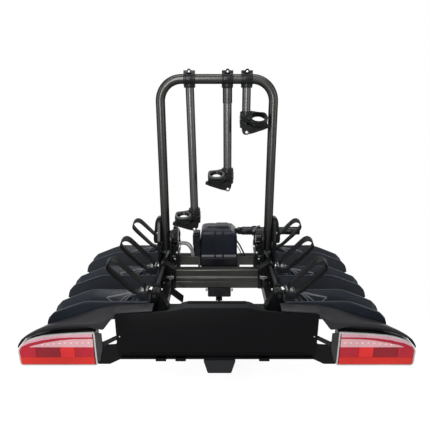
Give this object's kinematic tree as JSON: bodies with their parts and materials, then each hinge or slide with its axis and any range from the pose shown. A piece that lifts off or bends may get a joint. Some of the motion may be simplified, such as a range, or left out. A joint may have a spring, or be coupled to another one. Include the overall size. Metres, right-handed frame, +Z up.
{
  "type": "hitch bike carrier",
  "caption": "Towball-mounted bicycle carrier: hinged upright with clamp arms, fold-up wings with wheel trays and lights, number board, coupling and pedal-released tilt.",
  "frame": {"origin": "centre of the towball that the coupling clamps", "axes": "+X to the right seen from behind the car, +Y towards the car, +Z up"},
  "size_m": [1.208, 0.624, 0.896],
  "materials": {
    "black_plastic": "satin",
    "strap_rubber": "matt",
    "black_paint": "satin",
    "lamp_body": "gloss",
    "red_lens": "gloss",
    "black_nylon": "satin",
    "arm_paint": "satin",
    "cast_black": "satin",
    "cover_plastic": "satin",
    "lever_paint": "satin",
    "graphite_aluminium": "anodised",
    "zinc_steel": "zinc",
    "grey_cable": "matt",
    "board_plastic": "satin",
    "frame_paint": "satin"
  },
  "bodies": {
    "coupling": {"coupling_housing": "cast_black", "coupling_cover": "cover_plastic", "ball_cup": "cast_black"},
    "ball_clamp": {"clamp_jaw": "cast_black"},
    "clamp_lever": {"coupling_lever": "lever_paint"},
    "platform": {"hinge_yoke": "cast_black", "crossbar_front": "graphite_aluminium", "crossbar_middle": "graphite_aluminium", "crossbar_rear": "graphite_aluminium", "main_beam": "graphite_aluminium", "beam_cap": "black_plastic", "side_rails": "graphite_aluminium", "hinge_castings": "cast_black", "upright_brackets": "cast_black", "platform_fasteners": "zinc_steel", "plug_holder": "cover_plastic", "leads": "grey_cable", "number_board": "board_plastic", "board_brackets": "black_paint"},
    "lock_knob_right": {"lock_knob_right": "black_nylon"},
    "lock_knob_left": {"lock_knob_left": "black_nylon"},
    "pedal": {"foot_pedal": "black_plastic"},
    "pedal_rod": {"release_rod": "zinc_steel"},
    "upright": {"u_frame": "frame_paint"},
    "arm_clamp_1": {"arm_clamp_1": "black_nylon"},
    "arm_1": {"arm_tube_1": "arm_paint", "arm_head_1": "black_nylon"},
    "arm_latch_1": {"arm_latch_1": "black_nylon"},
    "arm_clamp_2": {"arm_clamp_2": "black_nylon"},
    "arm_2": {"arm_tube_2": "arm_paint", "arm_head_2": "black_nylon"},
    "arm_latch_2": {"arm_latch_2": "black_nylon"},
    "arm_clamp_3": {"arm_clamp_3": "black_nylon"},
    "arm_3": {"arm_tube_3": "arm_paint", "arm_head_3": "black_nylon"},
    "arm_latch_3": {"arm_latch_3": "black_nylon"},
    "wing_right": {"wheel_tray_front_right": "black_plastic", "wheel_tray_middle_right": "black_plastic", "wheel_tray_rear_right": "black_plastic", "wing_rail_right": "black_paint", "wheel_straps_right": "strap_rubber", "strap_buckles_right": "black_plastic", "wing_cover_right": "black_plastic", "light_housing_right": "lamp_body", "light_lens_right": "red_lens"},
    "buckle_lever_front_right": {"buckle_lever_front_right": "black_plastic"},
    "buckle_lever_middle_right": {"buckle_lever_middle_right": "black_plastic"},
    "buckle_lever_rear_right": {"buckle_lever_rear_right": "black_plastic"},
    "wing_left": {"wheel_tray_front_left": "black_plastic", "wheel_tray_middle_left": "black_plastic", "wheel_tray_rear_left": "black_plastic", "wing_rail_left": "black_paint", "wheel_straps_left": "strap_rubber", "strap_buckles_left": "black_plastic", "wing_cover_left": "black_plastic", "light_housing_left": "lamp_body", "light_lens_left": "red_lens"},
    "buckle_lever_front_left": {"buckle_lever_front_left": "black_plastic"},
    "buckle_lever_middle_left": {"buckle_lever_middle_left": "black_plastic"},
    "buckle_lever_rear_left": {"buckle_lever_rear_left": "black_plastic"}
  },
  "joints": [
    {"name": "platform_tilt", "type": "hinge", "parent": "coupling", "child": "platform", "pos_m": [0, -0.0835, 0.05], "axis": [1, 0, 0], "range_deg": [0, 42]},
    {"name": "upright_fold", "type": "hinge", "parent": "platform", "child": "upright", "pos_m": [-0.008, -0.175, 0.15], "axis": [-1, 0, 0], "range_deg": [-88, 0]},
    {"name": "wing_left_fold", "type": "hinge", "parent": "platform", "child": "wing_left", "pos_m": [-0.2, -0.275, 0.106], "axis": [0, 1, 0], "range_deg": [0, 90]},
    {"name": "wing_right_fold", "type": "hinge", "parent": "platform", "child": "wing_right", "pos_m": [0.184, -0.275, 0.106], "axis": [0, -1, 0], "range_deg": [0, 90]},
    {"name": "clamp_lever_lift", "type": "hinge", "parent": "coupling", "child": "clamp_lever", "pos_m": [0.0865, -0.003, 0.145], "axis": [0, -1, 0], "range_deg": [0, 70]},
    {"name": "ball_clamp_close", "type": "hinge", "parent": "coupling", "child": "ball_clamp", "pos_m": [0, -0.029, 0.044], "axis": [-1, 0, 0], "range_deg": [0, 7]},
    {"name": "pedal_press", "type": "hinge", "parent": "platform", "child": "pedal", "pos_m": [0, -0.4635, -0.008], "axis": [1, 0, 0], "range_deg": [0, 16]},
    {"name": "release_rod_slide", "type": "slide", "parent": "platform", "child": "pedal_rod", "axis": [0, 1, 0], "range_m": [-0.001, 0.0085]},
    {"name": "lock_knob_right_turn", "type": "hinge", "parent": "platform", "child": "lock_knob_right", "pos_m": [0.142, -0.175, 0.1845], "axis": [1, 0, 0], "continuous": true},
    {"name": "lock_knob_left_turn", "type": "hinge", "parent": "platform", "child": "lock_knob_left", "pos_m": [-0.158, -0.175, 0.1845], "axis": [1, 0, 0], "continuous": true},
    {"name": "arm_1_swing", "type": "hinge", "parent": "upright", "child": "arm_clamp_1", "pos_m": [-0.1005, -0.175, 0.747], "axis": [-1, 0, 0], "range_deg": [-50, 65]},
    {"name": "arm_1_turn", "type": "hinge", "parent": "arm_clamp_1", "child": "arm_1", "pos_m": [-0.1005, -0.175, 0.747], "axis": [-0.0199, 0, 0.9998], "range_deg": [-15, 90]},
    {"name": "arm_1_latch_open", "type": "hinge", "parent": "arm_1", "child": "arm_latch_1", "pos_m": [-0.09015, -0.21, 0.2271], "axis": [0, -1, 0], "range_deg": [0, 28]},
    {"name": "arm_2_swing", "type": "hinge", "parent": "upright", "child": "arm_clamp_2", "pos_m": [0.0275, -0.175, 0.747], "axis": [-1, 0, 0], "range_deg": [-50, 65]},
    {"name": "arm_2_turn", "type": "hinge", "parent": "arm_clamp_2", "child": "arm_2", "pos_m": [0.0275, -0.175, 0.747], "axis": [-0.0083, 0, 1], "range_deg": [-90, 90]},
    {"name": "arm_2_latch_open", "type": "hinge", "parent": "arm_2", "child": "arm_latch_2", "pos_m": [0.03056, -0.21, 0.37701], "axis": [0, -1, 0], "range_deg": [0, 28]},
    {"name": "arm_3_swing", "type": "hinge", "parent": "upright", "child": "arm_clamp_3", "pos_m": [0.0928, -0.175, 0.747], "axis": [-1, 0, 0], "range_deg": [0, 65]},
    {"name": "arm_3_turn", "type": "hinge", "parent": "arm_clamp_3", "child": "arm_3", "pos_m": [0.0928, -0.175, 0.747], "axis": [-0.0019, 0, 1], "range_deg": [-80, 0]},
    {"name": "arm_3_latch_open", "type": "hinge", "parent": "arm_3", "child": "arm_latch_3", "pos_m": [0.09313, -0.21, 0.574], "axis": [0, 1, 0], "range_deg": [0, 28]},
    {"name": "buckle_front_right_lift", "type": "hinge", "parent": "wing_right", "child": "buckle_lever_front_right", "pos_m": [0.23, -0.089, 0.105], "axis": [0, 1, 0], "range_deg": [0, 25]},
    {"name": "buckle_middle_right_lift", "type": "hinge", "parent": "wing_right", "child": "buckle_lever_middle_right", "pos_m": [0.23, -0.295, 0.105], "axis": [0, 1, 0], "range_deg": [0, 25]},
    {"name": "buckle_rear_right_lift", "type": "hinge", "parent": "wing_right", "child": "buckle_lever_rear_right", "pos_m": [0.23, -0.473, 0.105], "axis": [0, 1, 0], "range_deg": [0, 25]},
    {"name": "buckle_front_left_lift", "type": "hinge", "parent": "wing_left", "child": "buckle_lever_front_left", "pos_m": [-0.246, -0.089, 0.105], "axis": [0, -1, 0], "range_deg": [0, 25]},
    {"name": "buckle_middle_left_lift", "type": "hinge", "parent": "wing_left", "child": "buckle_lever_middle_left", "pos_m": [-0.246, -0.295, 0.105], "axis": [0, -1, 0], "range_deg": [0, 25]},
    {"name": "buckle_rear_left_lift", "type": "hinge", "parent": "wing_left", "child": "buckle_lever_rear_left", "pos_m": [-0.246, -0.473, 0.105], "axis": [0, -1, 0], "range_deg": [0, 25]}
  ],
  "couplings": [
    {"joint": "ball_clamp_close", "follows": "clamp_lever_lift", "ratio": 0.1},
    {"joint": "release_rod_slide", "follows": "pedal_press", "m_per_rad": 0.026}
  ]
}
